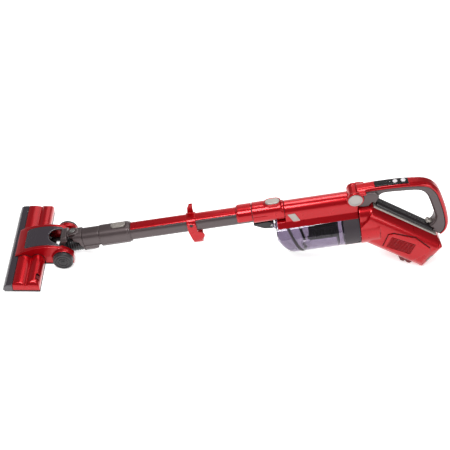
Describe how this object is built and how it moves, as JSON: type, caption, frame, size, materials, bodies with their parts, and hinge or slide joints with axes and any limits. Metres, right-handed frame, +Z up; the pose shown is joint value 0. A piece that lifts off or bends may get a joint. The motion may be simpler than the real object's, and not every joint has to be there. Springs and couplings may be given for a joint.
{
  "type": "cordless stick vacuum",
  "caption": "Cordless stick vacuum lying flat: powered floor head, swivel neck, wand, cyclone dust bin, sloping motor housing and a folding loop handle.",
  "frame": {"origin": "on the floor under the middle of the whole object's length, in its middle plane", "axes": "+X from the floor head to the handle, +Z up from the floor, -Y the near side with the exhaust grille seen first"},
  "size_m": [1.0564, 0.276, 0.2496],
  "materials": {
    "red_shell": "metallic lacquer over moulded plastic",
    "dark_red": "moulded",
    "warm_grey": "satin metallic grey",
    "black_plastic": "moulded",
    "gloss_black": "polished",
    "light_grey": "satin",
    "clear_smoke": "clear moulded plastic",
    "seal_rubber": "matt",
    "tyre_rubber": "matt",
    "steel": "turned",
    "silver_cap": "satin",
    "brass": "turned",
    "bristle": "nylon filament",
    "filter_white": "pleated paper"
  },
  "bodies": {
    "floor_head": {"head_top_shell": "red_shell", "head_arch_cover": "red_shell", "head_top_plate": "warm_grey", "head_sole": "black_plastic", "front_bumper": "warm_grey", "bumper_lens": "light_grey", "brush_bearings": "steel", "brush_motor": "steel", "drive_belt": "seal_rubber", "head_axle_pins": "steel", "sole_screws": "steel"},
    "brush": {"brush_roll": "black_plastic", "brush_bristles": "bristle", "brush_pulley": "black_plastic"},
    "motor_pinion": {"motor_pulley": "brass"},
    "wheel_near": {"rear_wheel_near": "tyre_rubber"},
    "wheel_far": {"rear_wheel_far": "tyre_rubber"},
    "release_slide": {"brush_release_slide": "dark_red"},
    "cradle": {"neck_cradle": "warm_grey", "swing_pin": "steel", "neck_hose": "seal_rubber"},
    "stick": {"neck_knuckle": "warm_grey", "neck_tube": "warm_grey", "wand_socket": "warm_grey", "wand_tube": "warm_grey", "wand_cover": "red_shell", "accessory_clip": "red_shell", "clip_screw": "steel", "nose_collar": "red_shell", "upper_beam": "red_shell", "side_inlays": "light_grey", "motor_housing_near": "red_shell", "motor_housing_far": "red_shell", "rear_cap": "red_shell", "grille_covers": "red_shell", "exhaust_filters": "black_plastic", "dock_foot": "dark_red", "fan_motor": "steel", "charging_jack": "black_plastic", "battery_pack": "gloss_black", "housing_trim": "light_grey"},
    "head_button": {"head_release_button": "light_grey"},
    "wand_button": {"wand_release_button": "light_grey"},
    "fan": {"fan_impeller": "steel"},
    "bin": {"dust_bin": "clear_smoke", "lid_hinge_pin": "steel", "bin_collar": "black_plastic", "cyclone_shroud": "black_plastic", "pre_motor_filter": "filter_white"},
    "lid": {"bin_lid": "clear_smoke", "bin_seal": "seal_rubber", "lid_latch_pin": "steel"},
    "latch_lever": {"lid_latch_lever": "black_plastic"},
    "handle": {"handle_outer_cover": "red_shell", "handle_inner_shell": "warm_grey", "control_panel": "gloss_black", "handle_hinge": "silver_cap"},
    "power_key": {"power_button": "light_grey"},
    "mode_key": {"mode_button": "light_grey"},
    "catch": {"handle_catch": "light_grey"}
  },
  "joints": [
    {"name": "brush_spin", "type": "hinge", "parent": "floor_head", "child": "brush", "pos_m": [-0.48825, 0, 0.0124], "axis": [0, 1, 0], "continuous": true},
    {"name": "brush_motor_spin", "type": "hinge", "parent": "floor_head", "child": "motor_pinion", "pos_m": [-0.45725, 0, 0.0168], "axis": [0, 1, 0], "continuous": true},
    {"name": "near_wheel_spin", "type": "hinge", "parent": "floor_head", "child": "wheel_near", "pos_m": [-0.39625, 0, 0.0238], "axis": [0, 1, 0], "continuous": true},
    {"name": "far_wheel_spin", "type": "hinge", "parent": "floor_head", "child": "wheel_far", "pos_m": [-0.39625, 0, 0.0238], "axis": [0, 1, 0], "continuous": true},
    {"name": "brush_release", "type": "slide", "parent": "floor_head", "child": "release_slide", "axis": [0, 1, 0], "range_m": [0, 0.005]},
    {"name": "neck_pitch", "type": "hinge", "parent": "floor_head", "child": "cradle", "pos_m": [-0.39625, 0, 0.0238], "axis": [0, -1, 0], "range_deg": [0, 65]},
    {"name": "neck_swing", "type": "hinge", "parent": "cradle", "child": "stick", "pos_m": [-0.37516, 0, 0.05849], "axis": [-0.2132, 0, 0.977], "range_deg": [-40, 40], "deforming": ["neck_hose"]},
    {"name": "head_release", "type": "slide", "parent": "stick", "child": "head_button", "axis": [0.2132, 0, -0.977], "range_m": [0, 0.0015], "stiffness_N_per_m": 600},
    {"name": "wand_release", "type": "slide", "parent": "stick", "child": "wand_button", "axis": [0.2132, 0, -0.977], "range_m": [0, 0.0015], "stiffness_N_per_m": 600},
    {"name": "fan_spin", "type": "hinge", "parent": "stick", "child": "fan", "pos_m": [0.35251, 0, 0.11389], "axis": [0.8855, 0, -0.4647], "continuous": true},
    {"name": "bin_slide", "type": "slide", "parent": "stick", "child": "bin", "axis": [0.2132, 0, -0.977], "range_m": [0, 0.05]},
    {"name": "bin_lid_swing", "type": "hinge", "parent": "bin", "child": "lid", "pos_m": [0.19214, 0, 0.03011], "axis": [0, -1, 0], "range_deg": [0, 70]},
    {"name": "lid_latch", "type": "hinge", "parent": "lid", "child": "latch_lever", "pos_m": [0.10072, 0, 0.11272], "axis": [0, 1, 0], "range_deg": [0, 5], "stiffness_Nm_per_rad": 0.3},
    {"name": "handle_fold", "type": "hinge", "parent": "stick", "child": "handle", "pos_m": [0.28627, 0, 0.20286], "axis": [0, -1, 0], "range_deg": [0, 90]},
    {"name": "power_press", "type": "slide", "parent": "handle", "child": "power_key", "axis": [0.2132, 0, -0.977], "range_m": [0, 0.001], "stiffness_N_per_m": 500},
    {"name": "mode_press", "type": "slide", "parent": "handle", "child": "mode_key", "axis": [0.2132, 0, -0.977], "range_m": [0, 0.001], "stiffness_N_per_m": 500},
    {"name": "handle_catch_slide", "type": "slide", "parent": "handle", "child": "catch", "axis": [0.8855, 0, -0.4647], "range_m": [0, 0.003], "stiffness_N_per_m": 400}
  ],
  "couplings": [
    {"joint": "brush_motor_spin", "follows": "brush_spin", "ratio": 1.5909}
  ]
}
